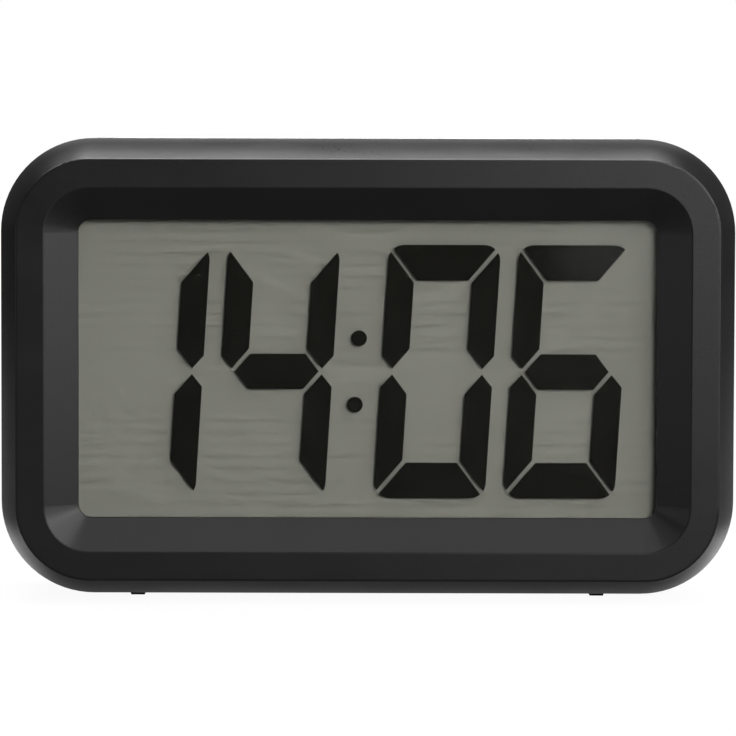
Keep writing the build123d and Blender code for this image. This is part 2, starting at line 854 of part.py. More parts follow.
# Snooze bar: a hollow key with a flange that holds it under the top wall
with BuildPart() as snooze_bar:
    with BuildSketch(Plane.XY.offset(snooze_foot)):
        with Locations((0, snooze_middle)):
            RectangleRounded(snooze_length, snooze_depth, snooze_round)
    extrude(amount=snooze_top - snooze_foot)
    fillet(snooze_bar.faces().sort_by(Axis.Z)[-1].edges(), snooze_edge)
    with BuildSketch(Plane.XY.offset(snooze_foot)):
        with Locations((0, snooze_middle)):
            RectangleRounded(
                snooze_length + 2 * snooze_flange[0],
                snooze_depth + 2 * snooze_flange[0],
                snooze_round + snooze_flange[0],
            )
    extrude(amount=snooze_flange[1])
    with BuildSketch(Plane.XY.offset(snooze_foot)):
        with Locations((0, snooze_middle)):
            RectangleRounded(
                snooze_length - 2 * snooze_wall,
                snooze_depth - 2 * snooze_wall,
                snooze_round - snooze_wall,
            )
    extrude(amount=snooze_top - snooze_top_wall - snooze_foot, mode=Mode.SUBTRACT)
    with BuildSketch(Plane.XY.offset(snooze_plunger_top)):
        with Locations((0, snooze_middle)):
            Circle(snooze_boss_radius)
    extrude(amount=snooze_top - snooze_top_wall / 2 - snooze_plunger_top)
keep(snooze_bar, "snooze_bar")

snooze_board_start = snooze_middle - snooze_board_front
with BuildPart() as snooze_board:
    with BuildSketch(Plane.XY.offset(snooze_board_top)):
        with Locations((0, (snooze_board_start + snooze_board_back) / 2)):
            Rectangle(2 * snooze_board_half_length, snooze_board_back - snooze_board_start)
        with Locations(*snooze_post_places):
            Circle(board_screw_shank[0] + shank_clearance, mode=Mode.SUBTRACT)
    extrude(amount=-board_thickness)
keep(snooze_board, "snooze_board")


def switch_bodies(plane, places):
    """Square switch bodies standing on a plane, each with a bore for its plunger."""
    with BuildPart() as bodies:
        with BuildSketch(plane):
            with Locations(*places):
                Rectangle(switch_side, switch_side)
        extrude(amount=switch_height)
        with BuildSketch(plane.offset(switch_height)):
            with Locations(*places):
                Circle(plunger_radius + plunger_clearance)
        extrude(amount=-(plunger_depth + plunger_room), mode=Mode.SUBTRACT)
    return bodies


# The back of the control board, facing backwards: its x runs against the x of the clock
control_plane = Plane(origin=(0, control_board_back, case_centre), x_dir=(-1, 0, 0), z_dir=(0, 1, 0))
control_plane_places = [(-x, control_height) for x in button_places]

keep(switch_bodies(Plane.XY.offset(snooze_board_top), [(0, snooze_middle)]), "snooze_switch")

with BuildPart() as snooze_plunger:
    with BuildSketch(Plane.XY.offset(snooze_switch_top - plunger_depth)):
        with Locations((0, snooze_middle)):
            Circle(plunger_radius)
    extrude(amount=plunger_depth + plunger_stand)
keep(snooze_plunger, "snooze_plunger")

snooze_seat = Plane.XY.offset(snooze_board_top - board_thickness)
snooze_screws = screws(snooze_seat, snooze_post_places, board_screw_head, board_screw_shank, False)
keep(snooze_screws, "snooze_board_screws")


# Control board with its switches
with BuildPart() as control_board:
    with BuildSketch(level(control_board_front)):
        with Locations((0, control_height)):
            Rectangle(
                2 * (control_boss_place + control_board_margin),
                2 * control_board_half_height,
            )
        with Locations(*boss_places):
            Circle(board_screw_shank[0] + shank_clearance, mode=Mode.SUBTRACT)
    extrude(amount=-board_thickness)
keep(control_board, "control_board")

control_seat = control_plane.offset(-board_thickness)
control_screws = screws(control_seat, boss_places, board_screw_head, board_screw_shank, False)
keep(control_screws, "control_board_screws")
keep(switch_bodies(control_plane, control_plane_places), "button_switches")

# The outer end of a button is the cap of a sphere
crown_radius = (button_radius**2 + button_crown**2) / (2 * button_crown)
for name, x in zip(button_names, button_places):
    button_axis = Axis((x, 0, case_centre + control_height), (0, 1, 0))
    flange_back = back_inside - flange_gap
    flange_front = flange_back - button_flange[1]
    tip = back_depth + button_stand
    with BuildPart() as button:
        with BuildSketch(Plane.XY.offset(case_centre + control_height)) as button_section:
            with BuildLine():
                RadiusArc((x, tip), (x + button_radius, tip - button_crown), crown_radius)
                Polyline(
                    (x + button_radius, tip - button_crown),
                    (x + button_radius, flange_back),
                    (x + button_flange[0], flange_back),
                    (x + button_flange[0], flange_front),
                    (x + button_stem_radius, flange_front),
                    (x + button_stem_radius, plunger_end),
                    (x, plunger_end),
                    (x, tip),
                )
            make_face()
            fillet(button_section.vertices().sort_by_distance((x + button_radius, tip))[0], button_round)
        revolve(axis=button_axis)
    keep(button, name)
    with BuildPart() as plunger:
        with BuildSketch(level(switch_top - plunger_depth)):
            with Locations((x, control_height)):
                Circle(plunger_radius)
        extrude(amount=-(plunger_depth + plunger_stand))
    keep(plunger, name.replace("button", "plunger"))


# Alarm slide switch
with BuildPart() as alarm_switch:
    with BuildSketch(control_plane):
        with Locations((-control_places[4], control_height)):
            Rectangle(slide_switch_size[0], slide_switch_size[2])
    extrude(amount=slide_switch_size[1])
    with BuildSketch(control_plane.offset(slide_switch_size[1])):
        with Locations((-control_places[4], control_height)):
            Rectangle(
                slider_foot[0] + slider_travel + 2 * slider_clearance,
                slider_foot[1] + 2 * slider_clearance,
            )
    extrude(amount=-(slider_foot_depth + slider_room), mode=Mode.SUBTRACT)
keep(alarm_switch, "alarm_switch")

with BuildPart() as alarm_slider:
    slide_top = control_board_back + slide_switch_size[1]
    flange_back = back_inside - flange_gap
    knob_end = back_depth + slider_stand
    with BuildSketch(level(flange_back)):
        with Locations((slider_rest, control_height)):
            Rectangle(*slider_knob)
    extrude(amount=flange_back - knob_end)
    fillet(alarm_slider.faces().sort_by(Axis.Y)[-1].edges(), lip_round)
    with BuildSketch(level(flange_back - slider_flange[1])):
        with Locations((slider_rest, control_height)):
            Rectangle(slider_flange[0], slider_flange[2])
    extrude(amount=-slider_flange[1])
    with BuildSketch(level(slide_top - slider_foot_depth)):
        with Locations((slider_rest, control_height)):
            Rectangle(*slider_foot)
    extrude(amount=slide_top - slider_foot_depth - flange_back)
keep(alarm_slider, "alarm_slider")


# Battery door: its lower edge is round about the line that it tilts on, and two tabs reach under the case
with BuildPart() as battery_door:
    with BuildSketch(Plane.YZ):
        with BuildLine():
            inside = back_depth - door_thickness
            Polyline(
                (back_depth, case_centre + door_pivot),
                (back_depth, case_centre + door_top),
                (inside, case_centre + door_top),
                (inside, case_centre + door_pivot),
            )
            ThreePointArc(
                (inside, case_centre + door_pivot),
                (door_middle, case_centre + door_foot),
                (back_depth, case_centre + door_pivot),
            )
        make_face()
    extrude(amount=door_x, both=True)
    fillet(battery_door.edges().filter_by(Axis.Y).sort_by(Axis.Z)[-2:], door_round)
    with BuildSketch(level(door_middle - door_thickness / 2)):
        for side in (-1, 1):
            middle_x = side * tab_place
            block(middle_x - tab_width / 2, middle_x + tab_width / 2, tab_foot, door_pivot)
    extrude(amount=-door_thickness / 2)
    with BuildSketch(level(back_depth)):
        for side in (-1, 1):
            slot_x = side * (latch_width + latch_slot) / 2
            block(slot_x - latch_slot / 2, slot_x + latch_slot / 2, door_top - latch_depth, door_top + overrun)
    extrude(amount=door_thickness, mode=Mode.SUBTRACT)
    rib_length, rib_proud, rib_height = latch_rib
    rib_middle = door_top - latch_depth / 2
    with BuildSketch(level(back_depth)):
        with Locations((0, rib_middle)):
            with GridLocations(0, latch_rib_pitch, 1, latch_rib_count):
                Rectangle(rib_length, rib_height)
    extrude(amount=-rib_proud)
keep(battery_door, "battery_door")


# Cells: they lie side by side, and every other one is turned round
for number, height in enumerate(cell_heights):
    turn = -1 if number % 2 == 0 else 1
    nub_end = turn * (bay_x - contact_thickness)
    shoulder = nub_end - turn * cell_nub[1]
    tail = nub_end - turn * cell_length
    with BuildPart() as battery_cell:
        with BuildSketch(Plane.YZ.offset(min(shoulder, tail))):
            with Locations((cell_depth, height)):
                Circle(cell_diameter / 2)
        extrude(amount=cell_length - cell_nub[1])
        fillet(battery_cell.edges(), cell_round)
        with BuildSketch(Plane.YZ.offset(min(shoulder, nub_end))):
            with Locations((cell_depth, height)):
                Circle(cell_nub[0])
        extrude(amount=cell_nub[1])
    keep(battery_cell, f"battery_cell_{number + 1}")

# Contact plates against the ends of the bay: at each end one plate that bridges two cells, and a single
# one whose solder tab goes through the floor of the bay
plate_low = bay_floor + cell_play
plate_high = plate_low + cell_diameter - cell_play
with BuildPart() as contact_plates:
    for (side, alone), pair in zip(terminal_places, (cell_heights[1:], cell_heights[:-1])):
        wall_x = bay_x if side > 0 else contact_thickness - bay_x
        with BuildSketch(Plane.YZ.offset(wall_x - contact_thickness)):
            with Locations(((plate_low + plate_high) / 2, alone)):
                Rectangle(plate_high - plate_low, contact_width)
            with Locations(((plate_low + plate_high) / 2, sum(pair) / 2)):
                Rectangle(plate_high - plate_low, cell_pitch + contact_width)
            with Locations(((terminal_front + plate_low) / 2, alone)):
                Rectangle(plate_low - terminal_front, solder_tab_width)
        extrude(amount=contact_thickness)
keep(contact_plates, "contact_plates")

# Contact springs: a bent strip between each plate and the flat end of its cell
with BuildPart() as contact_springs:
    for number, height in enumerate(cell_heights):
        side = 1 if number % 2 == 0 else -1
        root = side * (bay_x - contact_thickness)
        touch = root - side * spring_room
        half = cell_diameter / 2 - spring_bend
        with BuildSketch(Plane.XY.offset(height)):
            with BuildLine() as strip_line:
                FilletPolyline(
                    (root - side * spring_strip / 2, cell_depth - half),
                    (root - side * spring_strip / 2, cell_depth + half),
                    (touch + side * spring_strip / 2, cell_depth + spring_bend),
                    (touch + side * spring_strip / 2, cell_depth - spring_bend),
                    (root - side * spring_room / 2, cell_depth - half),
                    radius=spring_bend / 2,
                )
            trace(strip_line.line, spring_strip)
        extrude(amount=spring_width / 2, both=True)
keep(contact_springs, "contact_springs")


# Buzzer: a brass disc on its ring, with a ceramic layer
disc_front = back_inside - buzzer_ring[2] - buzzer_thickness
ceramic_front = disc_front - buzzer_thickness
for name, radius, front in (
    ("buzzer_disc", buzzer_radius, disc_front),
    ("buzzer_ceramic", ceramic_radius, ceramic_front),
):
    with BuildPart() as disc:
        with BuildSketch(level(front)):
            with Locations(buzzer_place):
                Circle(radius)
        extrude(amount=-buzzer_thickness)
    keep(disc, name)


# Leads: each one runs square out of its start and square onto the back of the main board
def lead_group(routes):
    """Round leads along routes of straight runs, with bends as large as the runs allow."""
    with BuildPart() as group:
        for route in routes:
            points = [Vector(*point) for point in route]
            bends = []
            for before, corner, after in zip(points, points[1:], points[2:]):
                turn = radians((corner - before).get_angle(after - corner))
                shorter_run = min((corner - before).length, (after - corner).length)
                bends.append(lead_bend_share * shorter_run / tan(turn / 2))
            with BuildLine() as way:
                FilletPolyline(*points, radius=bends)
            with BuildSketch(Plane(origin=way.line @ 0, z_dir=way.line % 0)):
                Circle(lead_radius)
            sweep()
    return group


def route_to_board(start, board_x, board_z):
    """A route forwards from its start, and across to its place on the main board."""
    x, depth, z = start
    return [
        start,
        (x, depth - lead_run, z),
        (board_x, board_back + lead_run, board_z),
        (board_x, board_back, board_z),
    ]


tab_x = bay_x - contact_thickness / 2
drift_out, drift_up = battery_lead_drift
for name, (side, height) in zip(("battery_lead_red", "battery_lead_black"), terminal_places):
    start = (side * tab_x, terminal_front, height)
    keep(lead_group([route_to_board(start, side * (tab_x + drift_out), height + drift_up)]), name)

# One lead of the buzzer is on the ceramic, the other on the bare brass round it, and they meet the board
# beside the last capacitor
buzzer_x, buzzer_z = buzzer_place
bare_ring_middle = (ceramic_radius + buzzer_ring[1]) / 2
buzzer_lead_x = capacitor_places[-1][0] + capacitor_radius + buzzer_lead_gap + lead_radius
buzzer_routes = []
for front, z in ((ceramic_front, buzzer_z), (disc_front, buzzer_z + bare_ring_middle)):
    start = (buzzer_x, front, case_centre + z)
    buzzer_routes.append(route_to_board(start, buzzer_lead_x, case_centre + z + buzzer_lead_rise))
keep(lead_group(buzzer_routes), "buzzer_leads")

snooze_lead_top = snooze_board_top - board_thickness
snooze_lead_depth = snooze_board_start + snooze_lead_inset
snooze_lead_end = snooze_lead_top - lead_run - snooze_lead_drop
snooze_routes = []
for side in (-1, 1):
    x = side * snooze_lead_pitch / 2
    snooze_routes.append(
        [
            (x, snooze_lead_depth, snooze_lead_top),
            (x, snooze_lead_depth, snooze_lead_top - lead_run),
            (x, board_back + lead_run, snooze_lead_end),
            (x, board_back, snooze_lead_end),
        ]
    )
keep(lead_group(snooze_routes), "snooze_leads")

# Ribbon from the main board up to the front of the control board
ribbon_width, ribbon_thickness = ribbon_size
ribbon_top = case_centre + control_height
with BuildPart() as board_ribbon:
    with BuildSketch(Plane.YZ.offset(ribbon_place)):
        with BuildLine() as ribbon_line:
            FilletPolyline(
                (board_back, ribbon_top - ribbon_drop),
                (board_back + lead_run, ribbon_top - ribbon_drop),
                (control_board_front - lead_run, ribbon_top),
                (control_board_front, ribbon_top),
                radius=ribbon_bend,
            )
        trace(ribbon_line.line, ribbon_thickness)
    extrude(amount=ribbon_width / 2, both=True)
keep(board_ribbon, "board_ribbon")
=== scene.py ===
import json
from math import cos, radians, sin

import bmesh
import bpy
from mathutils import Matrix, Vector


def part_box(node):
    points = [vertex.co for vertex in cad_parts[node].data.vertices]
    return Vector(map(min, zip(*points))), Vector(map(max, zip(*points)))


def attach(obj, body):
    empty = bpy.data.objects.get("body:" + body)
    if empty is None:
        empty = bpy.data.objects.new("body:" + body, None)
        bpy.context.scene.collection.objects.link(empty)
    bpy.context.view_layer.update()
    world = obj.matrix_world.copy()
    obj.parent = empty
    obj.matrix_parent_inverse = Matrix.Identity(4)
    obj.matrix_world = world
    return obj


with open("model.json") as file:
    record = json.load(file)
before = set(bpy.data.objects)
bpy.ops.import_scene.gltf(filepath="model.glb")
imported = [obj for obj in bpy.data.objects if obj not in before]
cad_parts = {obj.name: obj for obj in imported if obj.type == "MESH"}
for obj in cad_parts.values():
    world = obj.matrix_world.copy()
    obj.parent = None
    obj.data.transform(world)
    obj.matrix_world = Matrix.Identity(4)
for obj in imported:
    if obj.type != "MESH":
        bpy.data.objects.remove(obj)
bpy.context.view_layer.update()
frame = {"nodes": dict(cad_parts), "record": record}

MM = 0.001

# The view: the image is 736 pixels square, and a millimetre on the face is PIXELS_PER_MM of them. The
# distance is in metres, the angles are in degrees and the sensor is in millimetres
IMAGE_SIDE = 736
PIXELS_PER_MM = 5.329
VIEW_DISTANCE = 0.8
VIEW_ELEVATION = 3.5
VIEW_ROLL = 0.15
FACE_CENTRE_PIXEL = (367.75, 371.0)
SENSOR_WIDTH = 36.0

# Places in the frame, in metres
shell_low, shell_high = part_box("front_shell")
back_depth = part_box("rear_shell")[1].y
cell_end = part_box("battery_cell_2")[1].x
face_depth = shell_low.y
centre = (0.0, 0.0, (shell_low.z + shell_high.z) / 2)


# Materials. Noise scales are waves in a metre, and relief is in metres


class Shading:
    """The nodes of a material or of the world. Most calls add a node and return one of its outputs."""

    def __init__(self, owner, place="Object", out="ShaderNodeOutputMaterial"):
        owner.use_nodes = True
        self.owner = owner
        self.tree = owner.node_tree
        self.tree.nodes.clear()
        self.out = self.add(out)
        self.place = self.add("ShaderNodeTexCoord").outputs[place]

    def add(self, kind, **settings):
        node = self.tree.nodes.new(kind)
        for name, value in settings.items():
            setattr(node, name, value)
        return node

    def join(self, value, socket):
        """Links an output to a socket, or sets a plain value on it."""
        if isinstance(value, bpy.types.NodeSocket):
            self.tree.links.new(value, socket)
        elif isinstance(value, tuple) and len(value) == 3:
            socket.default_value = (*value, 1.0)
        else:
            socket.default_value = value

    def stretched(self, x, y, z):
        """The place on the surface, with each axis scaled."""
        node = self.add("ShaderNodeMapping")
        self.join(self.place, node.inputs["Vector"])
        node.inputs["Scale"].default_value = (x, y, z)
        return node.outputs["Vector"]

    def noise(self, scale, detail=2.0, roughness=0.5, place=None):
        node = self.add("ShaderNodeTexNoise")
        self.join(place or self.place, node.inputs["Vector"])
        self.join(scale, node.inputs["Scale"])
        self.join(detail, node.inputs["Detail"])
        self.join(roughness, node.inputs["Roughness"])
        return node.outputs["Fac"]

    def cells(self, scale):
        node = self.add("ShaderNodeTexVoronoi")
        self.join(self.place, node.inputs["Vector"])
        self.join(scale, node.inputs["Scale"])
        return node.outputs["Distance"]

    def axis(self, name):
        node = self.add("ShaderNodeSeparateXYZ")
        self.join(self.place, node.inputs[0])
        return node.outputs[name]

    def ray(self, *kinds):
        """One for the named kinds of ray, and zero for the others."""
        node = self.add("ShaderNodeLightPath")
        found = node.outputs[kinds[0]]
        for kind in kinds[1:]:
            found = self.math("MAXIMUM", found, node.outputs[kind])
        return found

    def glow(self, strength=1.0, kind="ShaderNodeEmission"):
        node = self.add(kind)
        self.join((1.0, 1.0, 1.0), node.inputs["Color"])
        self.join(strength, node.inputs["Strength"])
        return node.outputs[0]

    def layer(self, share, under, over):
        node = self.add("ShaderNodeMixShader")
        for socket, item in zip(node.inputs, (share, under, over)):
            self.join(item, socket)
        return node.outputs[0]

    def math(self, operation, a, b=0.0):
        node = self.add("ShaderNodeMath", operation=operation)
        self.join(a, node.inputs[0])
        self.join(b, node.inputs[1])
        return node.outputs[0]

    def spread(self, value, low, high, to_low, to_high, smooth=False):
        """Maps the range from low to high onto the range from to_low to to_high."""
        node = self.add("ShaderNodeMapRange")
        if smooth:
            node.interpolation_type = "SMOOTHSTEP"
        for socket, item in zip(node.inputs, (value, low, high, to_low, to_high)):
            self.join(item, socket)
        return node.outputs[0]

    def vary(self, noise, at_low, at_high, low=0.3, high=0.7):
        """Maps a noise, most of which lies between low and high, onto a range of values."""
        return self.spread(noise, low, high, at_low, at_high)

    def blend(self, share, a, b):
        node = self.add("ShaderNodeMix", data_type="RGBA")
        self.join(share, node.inputs["Factor"])
        self.join(a, node.inputs[6])
        self.join(b, node.inputs[7])
        return node.outputs[2]

    def tones(self, share, colour, start, end):
        """From one tone of a colour to another, each given as a share of the colour."""
        return self.blend(share, tone(colour, start), tone(colour, end))

    def bump(self, height, distance):
        node = self.add("ShaderNodeBump")
        self.join(1.0, node.inputs["Strength"])
        self.join(distance, node.inputs["Distance"])
        self.join(height, node.inputs["Height"])
        return node.outputs["Normal"]

    def surface(self, colour, roughness, normal=None, **values):
        node = self.add("ShaderNodeBsdfPrincipled")
        self.join(colour, node.inputs["Base Color"])
        self.join(roughness, node.inputs["Roughness"])
        if normal is not None:
            self.join(normal, node.inputs["Normal"])
        for name, value in values.items():
            self.join(value, node.inputs[name.replace("_", " ")])
        return node.outputs[0]

    def finish(self, shader):
        self.join(shader, self.out.inputs["Surface"])
        return self.owner


def new_material(name):
    return Shading(bpy.data.materials.new(name))


def tone(colour, share):
    return tuple(part * share for part in colour)


FINE_RELIEF = 0.01 * MM
DUST_RELIEF = 0.03 * MM
FLAKE_RELIEF = 0.0004 * MM
GLASS_RELIEF = 0.002 * MM
SPARK_SCALE = 2600.0


def moulded_plastic(name, colour, roughness, gloss=0.5):
    """Moulded plastic with a fine spark texture, faint flow marks and a colour that shifts a little."""
    m = new_material(name)
    flow = m.noise(scale=45.0, detail=3.0, roughness=0.6, place=m.stretched(1.0, 1.0, 2.2))
    grain = m.noise(scale=SPARK_SCALE, detail=3.0, roughness=0.7)
    pits = m.cells(scale=SPARK_SCALE * 0.6)
    shade = m.tones(m.vary(flow, 0.0, 1.0), colour, start=0.9, end=1.12)
    broad = m.vary(flow, roughness - 0.03, roughness + 0.03)
    rough = m.math("ADD", broad, m.vary(grain, -0.03, 0.03))
    relief = m.math("ADD", grain, m.math("MULTIPLY", pits, 0.5))
    return m.finish(m.surface(shade, rough, m.bump(relief, FINE_RELIEF), Specular_IOR_Level=gloss))


def smooth_plastic(name, colour, roughness, gloss=0.5):
    """Smoother plastic, as on keys and caps, with fine handling marks."""
    m = new_material(name)
    wear = m.noise(scale=160.0, detail=4.0, roughness=0.6)
    fine = m.noise(scale=1800.0, detail=2.0, roughness=0.6)
    shade = m.tones(m.vary(wear, 0.0, 1.0, low=0.35), colour, start=0.92, end=1.1)
    rough = m.vary(wear, roughness - 0.02, roughness + 0.02)
    return m.finish(m.surface(shade, rough, m.bump(fine, FINE_RELIEF), Specular_IOR_Level=gloss))


def rubber(name, colour):
    """Dull rubber with pale dust in its pores."""
    m = new_material(name)
    dust = m.noise(scale=700.0, detail=4.0, roughness=0.7)
    shade = m.tones(m.vary(dust, 0.0, 0.6, low=0.4, high=0.8), colour, start=1.0, end=2.2)
    return m.finish(m.surface(shade, m.vary(dust, 0.7, 0.85), m.bump(dust, DUST_RELIEF)))


def metal(name, colour, roughness, along=(1.0, 12.0, 12.0)):
    """Rolled or drawn metal: streaks along one direction and a few darker spots."""
    m = new_material(name)
    streak = m.noise(scale=260.0, detail=3.0, roughness=0.6, place=m.stretched(*along))
    spots = m.noise(scale=500.0, detail=3.0, roughness=0.6)
    shade = m.tones(m.vary(spots, 0.0, 1.0, low=0.35, high=0.75), colour, start=1.0, end=0.78)
    rough = m.vary(streak, roughness - 0.07, roughness + 0.1)
    return m.finish(m.surface(shade, rough, m.bump(streak, FINE_RELIEF), Metallic=1.0))


def clear_sheet(name, colour, roughness, scratches=0.05, facing=0.01, grazing=0.5):
    """A clear pane: light passes straight through, and its faces mirror a share, more at a grazing view."""
    m = new_material(name)
    smear = m.noise(scale=90.0, detail=3.0, roughness=0.6, place=m.stretched(1.0, 1.0, 1.6))
    fine = m.noise(scale=2400.0, detail=2.0, roughness=0.6)
    through = m.add("ShaderNodeBsdfTransparent")
    m.join(colour, through.inputs["Color"])
    mirror = m.add("ShaderNodeBsdfGlossy")
    m.join(m.vary(smear, roughness, roughness + scratches, low=0.35), mirror.inputs["Roughness"])
    m.join(m.bump(fine, GLASS_RELIEF), mirror.inputs["Normal"])
    lean = m.add("ShaderNodeLayerWeight").outputs["Facing"]
    share = m.spread(m.math("POWER", lean, 5.0), 0.0, 1.0, facing, grazing)
    return m.finish(m.layer(share, through.outputs[0], mirror.outputs[0]))


def display_ground(name, colour):
    """The grey reflective ground behind the figures, with the relief of its metal flakes and a painted
    sparkle: its colour is a little lighter near the middle of each flake.
    """
    m = new_material(name)
    flakes = m.cells(scale=5200.0)
    cloud = m.noise(scale=28.0, detail=2.0, roughness=0.5)
    # Painted sparkle: the colour is made a little lighter near the middle of each flake
    painted_flake_sparkle = m.spread(flakes, 0.0, 0.6, 0.06, 0.0)
    shade = m.tones(m.math("ADD", m.vary(cloud, 0.3, 0.5), painted_flake_sparkle), colour, start=0.94, end=1.06)
    return m.finish(m.surface(shade, 0.75, m.bump(flakes, FLAKE_RELIEF), Specular_IOR_Level=0.1))


def circuit_board(name, colour, copper):
    """Solder mask over copper: tracks show as slightly lighter bands, with the weave of the board."""
    m = new_material(name)
    tracks = m.add("ShaderNodeTexBrick", offset=0.5, squash=0.6, squash_frequency=3)
    m.join(m.place, tracks.inputs["Vector"])
    m.join(190.0, tracks.inputs["Scale"])
    m.join(0.06, tracks.inputs["Mortar Size"])
    m.join((0.0, 0.0, 0.0), tracks.inputs["Color1"])
    m.join((0.35, 0.35, 0.35), tracks.inputs["Color2"])
    m.join((1.0, 1.0, 1.0), tracks.inputs["Mortar"])
    weave = m.noise(scale=1500.0, detail=2.0, roughness=0.5)
    shade = m.blend(tracks.outputs["Color"], colour, copper)
    return m.finish(m.surface(shade, m.vary(weave, 0.28, 0.4), m.bump(weave, FINE_RELIEF)))


STRIPE_PITCH = 0.36 * MM


def striped_rubber(name, colour, light):
    """Layers of dark carbon rubber and light rubber, side by side along the strip."""
    m = new_material(name)
    layers = m.math("FRACT", m.math("MULTIPLY", m.axis("X"), 1.0 / STRIPE_PITCH))
    dust = m.noise(scale=900.0, detail=3.0, roughness=0.6)
    shade = m.blend(m.spread(layers, 0.45, 0.55, 0.0, 1.0), colour, light)
    return m.finish(m.surface(shade, 0.7, m.bump(dust, FINE_RELIEF)))


CELL_BARE_END = 2.4 * MM
CELL_BAND_START = 10.5 * MM


def cell_jacket(name, colour, band, steel):
    """The wrapped jacket of a cell, with a lighter band over one end and bare metal at its outer end."""
    m = new_material(name)
    bare = m.math("GREATER_THAN", m.math("ABSOLUTE", m.axis("X")), cell_end - CELL_BARE_END)
    banded = m.math("GREATER_THAN", m.axis("X"), CELL_BAND_START)
    seam = m.noise(scale=300.0, detail=2.0, roughness=0.6, place=m.stretched(0.15, 1.0, 1.0))
    jacket = m.blend(banded, colour, band)
    jacket = m.blend(m.vary(seam, 0.0, 0.35, low=0.4), jacket, tone(colour, 1.5))
    shade = m.blend(bare, jacket, steel)
    return m.finish(m.surface(shade, m.vary(seam, 0.3, 0.42), m.bump(seam, FINE_RELIEF), Metallic=bare))


# Each material slot of the record: the function that makes its material, and the values it is given
looks = {
    "case_black": (moulded_plastic, {"colour": (0.0055, 0.0055, 0.0056), "roughness": 0.32, "gloss": 0.36}),
    "key_black": (smooth_plastic, {"colour": (0.008, 0.008, 0.0085), "roughness": 0.3, "gloss": 0.45}),
    "foot_rubber": (rubber, {"colour": (0.008, 0.008, 0.008)}),
    "lens_clear": (clear_sheet, {
        "colour": (0.99, 0.99, 0.985), "roughness": 0.06, "scratches": 0.03,
        "facing": 0.003, "grazing": 0.9}),
    "display_glass": (clear_sheet, {
        "colour": (0.988, 0.99, 0.988), "roughness": 0.02, "scratches": 0.02,
        "facing": 0.0001, "grazing": 0.1}),
    "polarizer_film": (clear_sheet, {
        "colour": (0.95, 0.95, 0.94), "roughness": 0.25, "scratches": 0.05,
        "facing": 0.0001, "grazing": 0.1}),
    "display_ground": (display_ground, {"colour": (0.27, 0.267, 0.248)}),
    "segment_black": (smooth_plastic, {"colour": (0.006, 0.006, 0.005), "roughness": 0.5, "gloss": 0.05}),
    "seal_grey": (moulded_plastic, {"colour": (0.22, 0.22, 0.21), "roughness": 0.5}),
    "guide_clear": (clear_sheet, {"colour": (0.93, 0.95, 0.95), "roughness": 0.1}),
    "led_white": (smooth_plastic, {"colour": (0.82, 0.8, 0.62), "roughness": 0.3}),
    "reflector_white": (smooth_plastic, {"colour": (0.8, 0.8, 0.8), "roughness": 0.6}),
    "holder_black": (moulded_plastic, {"colour": (0.02, 0.02, 0.02), "roughness": 0.5}),
    "zebra_rubber": (striped_rubber, {"colour": (0.02, 0.02, 0.02), "light": (0.35, 0.34, 0.32)}),
    "board_green": (circuit_board, {"colour": (0.012, 0.09, 0.035), "copper": (0.05, 0.22, 0.08)}),
    "chip_black": (smooth_plastic, {"colour": (0.012, 0.012, 0.012), "roughness": 0.22}),
    "crystal_metal": (metal, {"colour": (0.68, 0.68, 0.7), "roughness": 0.3}),
    "capacitor_sleeve": (smooth_plastic, {"colour": (0.015, 0.03, 0.09), "roughness": 0.35}),
    "screw_steel": (metal, {"colour": (0.5, 0.5, 0.51), "roughness": 0.34, "along": (4.0, 4.0, 4.0)}),
    "switch_black": (smooth_plastic, {"colour": (0.02, 0.02, 0.02), "roughness": 0.4}),
    "switch_metal": (metal, {"colour": (0.6, 0.6, 0.6), "roughness": 0.3}),
    "plunger_white": (smooth_plastic, {"colour": (0.72, 0.7, 0.66), "roughness": 0.45}),
    "contact_metal": (metal, {"colour": (0.66, 0.65, 0.62), "roughness": 0.28, "along": (12.0, 12.0, 1.0)}),
    "buzzer_brass": (metal, {"colour": (0.72, 0.52, 0.22), "roughness": 0.3, "along": (5.0, 5.0, 1.0)}),
    "buzzer_ceramic": (smooth_plastic, {"colour": (0.78, 0.77, 0.72), "roughness": 0.4}),
    "cell_sleeve": (cell_jacket, {
        "colour": (0.05, 0.055, 0.065), "band": (0.3, 0.31, 0.33), "steel": (0.6, 0.6, 0.6)}),
    "lead_red": (smooth_plastic, {"colour": (0.35, 0.015, 0.01), "roughness": 0.45}),
    "lead_black": (smooth_plastic, {"colour": (0.015, 0.015, 0.015), "roughness": 0.45}),
    "ribbon_grey": (smooth_plastic, {"colour": (0.3, 0.3, 0.31), "roughness": 0.5}),
}
materials = {name: make(name, **values) for name, (make, values) in looks.items()}

for part in frame["record"]["subparts"]:
    node = frame["nodes"][part["node"]]
    node.data.materials.clear()
    node.data.materials.append(materials[part["material_slot"]])


# Words and arrows on the back, raised and printed white, over and beside the controls

MARK_PROUD = 0.15 * MM
MARK_RISE = 6.2 * MM
WORD_SIZE = 2.6 * MM
WORD_WEIGHT = 0.04 * MM
ARROW_HALF = 1.0 * MM
SWITCH_WORD_STEP = 6.6 * MM


def mark(name, data, x, z):
    """Puts a raised mark on the back face of the case, turned to be read from behind."""
    data.materials.append(materials["plunger_white"])
    piece = bpy.data.objects.new(name, data)
    piece.location = (x, back_depth, z)
    piece.rotation_euler = (radians(90.0), 0.0, radians(180.0))
    bpy.context.scene.collection.objects.link(piece)
    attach(piece, "case")


def raised_word(word, x, z):
    name = f"word_{word.lower()}"
    data = bpy.data.curves.new(name, "FONT")
    data.body = word
    data.size = WORD_SIZE
    data.extrude = MARK_PROUD
    data.offset = WORD_WEIGHT
    data.resolution_u = 4
    data.align_x = "CENTER"
    data.align_y = "CENTER"
    mark(name, data, x, z)


